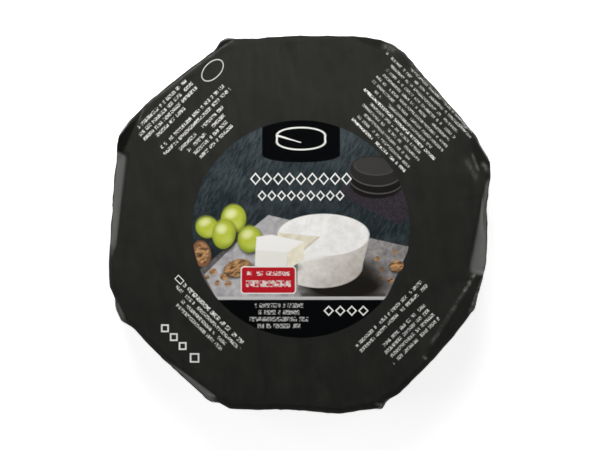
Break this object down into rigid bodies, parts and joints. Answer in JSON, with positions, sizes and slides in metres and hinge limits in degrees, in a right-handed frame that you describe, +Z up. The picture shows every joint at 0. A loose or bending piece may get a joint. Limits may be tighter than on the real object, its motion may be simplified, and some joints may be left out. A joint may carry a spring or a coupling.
{
  "type": "wrapped cheese wheel",
  "caption": "Soft-ripened cheese wheel in clear film and black paper folded to an eight-sided parcel, closed by a round base label.",
  "frame": {"origin": "middle of the parcel's base, on the surface that it stands on", "axes": "+Z up through the middle of the wheel, out of the printed top; +Y towards the top of the printed picture; the flat sides face along X, Y and the diagonals"},
  "size_m": [0.1146, 0.1146, 0.0296],
  "materials": {
    "rind": "matte",
    "film": "satin",
    "black_paper": "satin",
    "label_paper": "matte"
  },
  "bodies": {
    "root": {"cheese_wheel": "rind", "inner_film": "film", "outer_wrapper": "black_paper", "base_label": "label_paper"}
  },
  "joints": []
}
